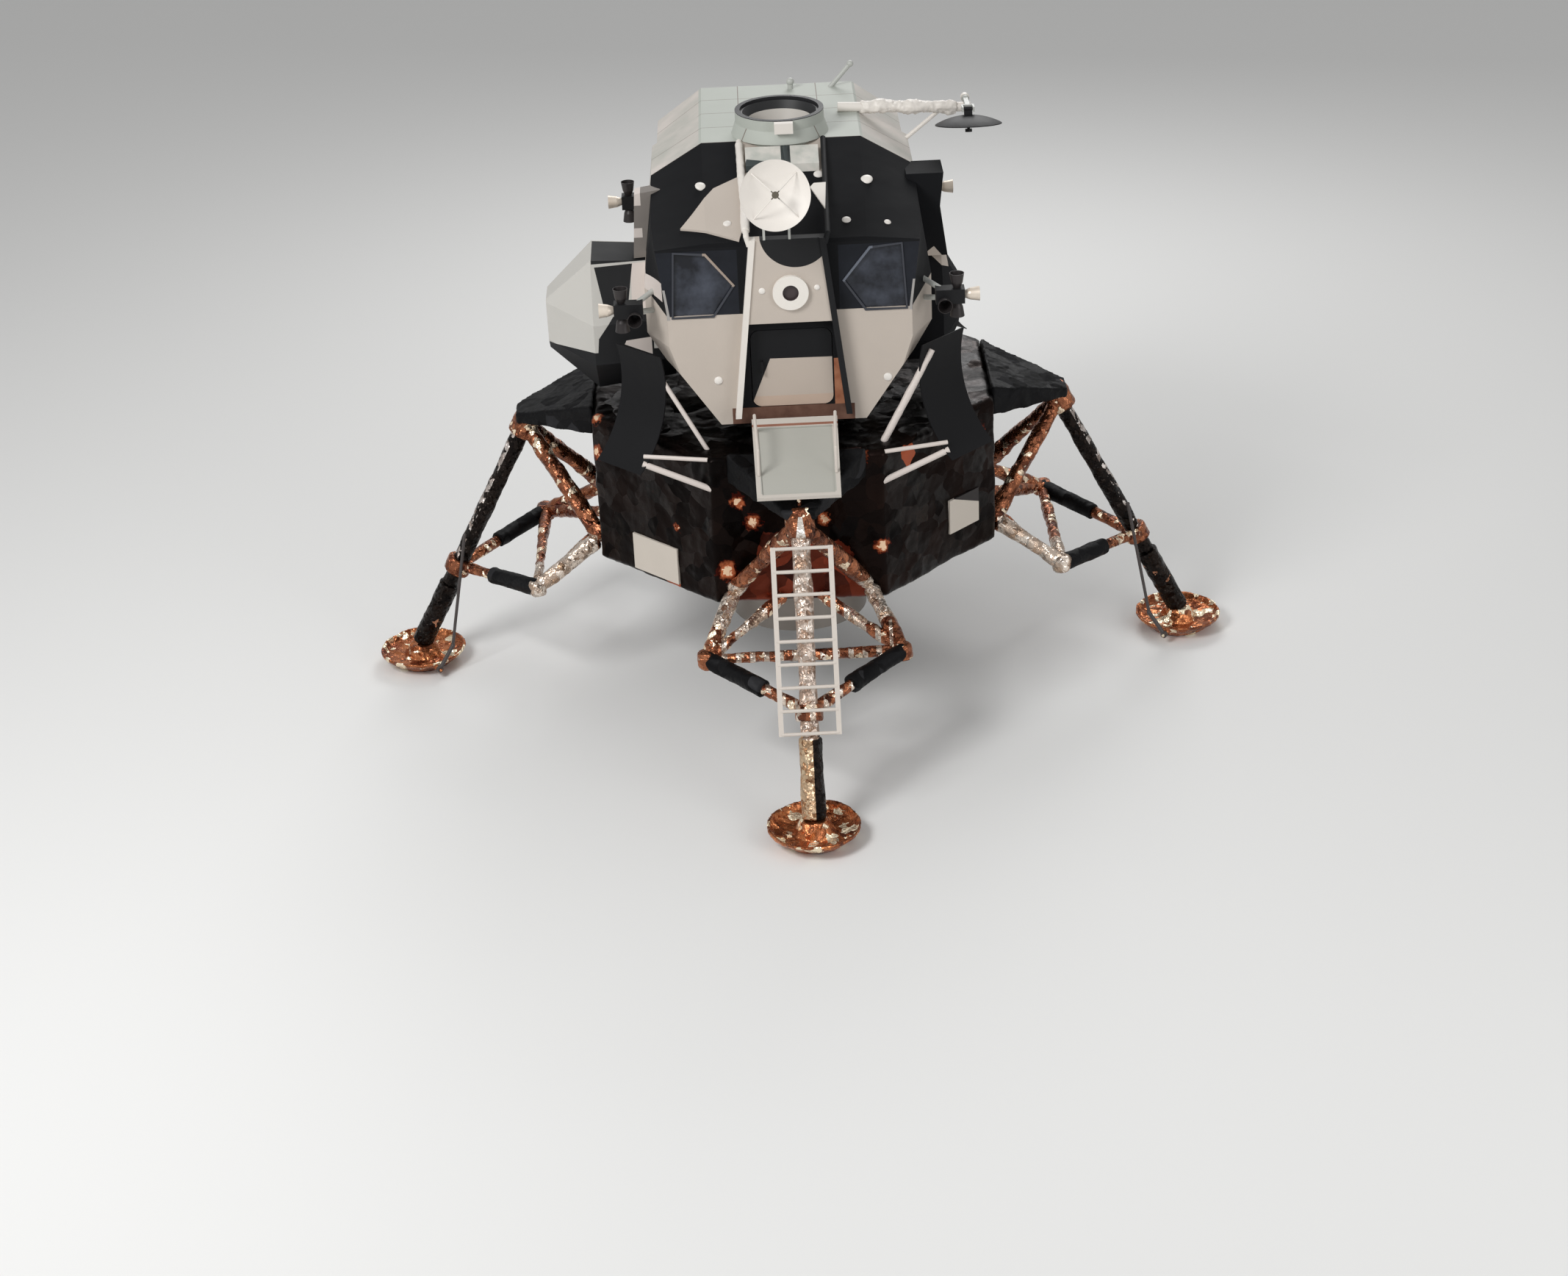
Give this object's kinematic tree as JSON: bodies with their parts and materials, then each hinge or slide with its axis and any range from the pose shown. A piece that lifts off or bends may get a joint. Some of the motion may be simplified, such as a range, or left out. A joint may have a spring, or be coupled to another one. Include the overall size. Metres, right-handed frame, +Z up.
{
  "type": "lunar lander",
  "caption": "Crewed lunar lander: octagonal descent stage on splayed legs with dished pads, faceted ascent cabin on top, hinged hatch, steerable dishes and gimballed engine.",
  "frame": {"origin": "on the ground, midway between the four footpads", "axes": "+Z up, -Y towards the ladder and the forward hatch, +X to the right of someone who looks at the hatch"},
  "size_m": [9.424, 9.424, 6.3112],
  "materials": {
    "stage_foil": "crinkled copper-coloured foil blanket",
    "black_blanket": "matt black blanket",
    "bare_metal": "bare machined metal",
    "nozzle_metal": "heat-stained metal",
    "strut_dark": "dark sleeve",
    "strut_foil": "wrapped gold and copper foil",
    "pale_paint": "pale satin paint",
    "deflector_metal": "dark coated sheet",
    "roof_panel": "pale greenish grey shield panels",
    "pale_panel": "pale tan-grey shield panels",
    "black_panel": "matt black shield panels",
    "window_glass": "dark coated glass",
    "dark_metal": "dark metal",
    "tank_panel": "light grey faceted shield panels",
    "dish_paint": "white cream paint"
  },
  "bodies": {
    "vehicle": {"descent_stage": "stage_foil", "base_heat_shield": "black_blanket", "engine_mounts": "bare_metal", "primary_struts": "strut_dark", "strut_sleeves": "black_blanket", "strut_collars": "strut_foil", "apex_fittings": "strut_foil", "secondary_struts": "strut_foil", "secondary_dampers": "black_blanket", "knee_fittings": "strut_foil", "outrigger_struts": "strut_foil", "deployment_trusses": "strut_foil", "footpads": "strut_foil", "outrigger_hoods": "black_blanket", "ladder": "pale_paint", "ladder_brackets": "pale_paint", "porch": "pale_paint", "porch_rails": "pale_paint", "porch_supports": "strut_foil", "plume_deflectors": "deflector_metal", "deflector_bars": "pale_paint", "side_plates": "pale_paint", "interstage_fittings": "bare_metal", "midsection": "roof_panel", "aft_equipment_bay": "roof_panel", "cabin_front": "pale_panel", "crew_cabin": "pale_panel", "cabin_hood": "black_panel", "front_windows": "window_glass", "brow_panel": "pale_panel", "hatch_hinges": "bare_metal", "nose_beams": "pale_panel", "nose_panel": "pale_panel", "docking_light": "pale_paint", "tunnel_skirt": "pale_paint", "docking_ring": "dark_metal", "docking_drogue": "pale_panel", "left_tank_cover": "tank_panel", "right_tank_cover": "black_panel", "left_side_bay": "pale_panel", "right_side_bay": "black_panel", "radar_base": "pale_paint", "thruster_quads": "dark_metal", "thruster_nozzles": "nozzle_metal", "quad_booms": "pale_paint", "radar_frame": "pale_paint", "radar_ears": "pale_paint", "antenna_boom": "pale_paint", "roof_aerials": "pale_paint"},
    "probe_left": {"probe_left": "bare_metal"},
    "probe_right": {"probe_right": "bare_metal"},
    "probe_rear": {"probe_rear": "bare_metal"},
    "hatch": {"forward_hatch": "pale_panel"},
    "radar_yoke": {"radar_yoke": "dark_metal"},
    "radar_dish": {"radar_dish": "dish_paint"},
    "antenna_fork": {"antenna_fork": "pale_paint"},
    "antenna_dish": {"antenna_dish": "dark_metal"},
    "gimbal_ring": {"gimbal_ring": "bare_metal"},
    "engine_nozzle": {"engine_nozzle": "nozzle_metal"}
  },
  "joints": [
    {"name": "probe_right_swing", "type": "hinge", "parent": "vehicle", "child": "probe_right", "pos_m": [4.02562, -0.46403, 0.118], "axis": [0.5682, 0.8229, 0], "range_deg": [0, 197.7]},
    {"name": "probe_rear_swing", "type": "hinge", "parent": "vehicle", "child": "probe_rear", "pos_m": [0.46403, 4.02562, 0.118], "axis": [-0.8229, 0.5682, 0], "range_deg": [0, 197.7]},
    {"name": "probe_left_swing", "type": "hinge", "parent": "vehicle", "child": "probe_left", "pos_m": [-4.02562, -0.46403, 0.118], "axis": [0.5682, -0.8229, 0], "range_deg": [0, 197.7]},
    {"name": "hatch_swing", "type": "hinge", "parent": "vehicle", "child": "hatch", "pos_m": [0.448, -1.692, 4.04], "axis": [0, 0, -1], "range_deg": [0, 85]},
    {"name": "radar_elevation", "type": "hinge", "parent": "vehicle", "child": "radar_yoke", "pos_m": [-0.1, -1.96, 5.9], "axis": [-1, 0, 0], "range_deg": [-45, 60]},
    {"name": "radar_azimuth", "type": "hinge", "parent": "radar_yoke", "child": "radar_dish", "pos_m": [-0.1, -1.96, 5.9], "axis": [0, 0.342, 0.9397], "range_deg": [-50, 50]},
    {"name": "antenna_roll", "type": "hinge", "parent": "vehicle", "child": "antenna_fork", "pos_m": [1.95, 0.1, 6.05], "axis": [0, 1, 0], "range_deg": [-50, 50]},
    {"name": "antenna_tilt", "type": "hinge", "parent": "antenna_fork", "child": "antenna_dish", "pos_m": [1.95, 0.1, 6.05], "axis": [1, 0, 0], "range_deg": [-34, 20]},
    {"name": "engine_roll_gimbal", "type": "hinge", "parent": "vehicle", "child": "gimbal_ring", "pos_m": [0, 0, 2.159], "axis": [1, 0, 0], "range_deg": [-6, 6]},
    {"name": "engine_pitch_gimbal", "type": "hinge", "parent": "gimbal_ring", "child": "engine_nozzle", "pos_m": [0, 0, 2.159], "axis": [0, 1, 0], "range_deg": [-6, 6]}
  ]
}
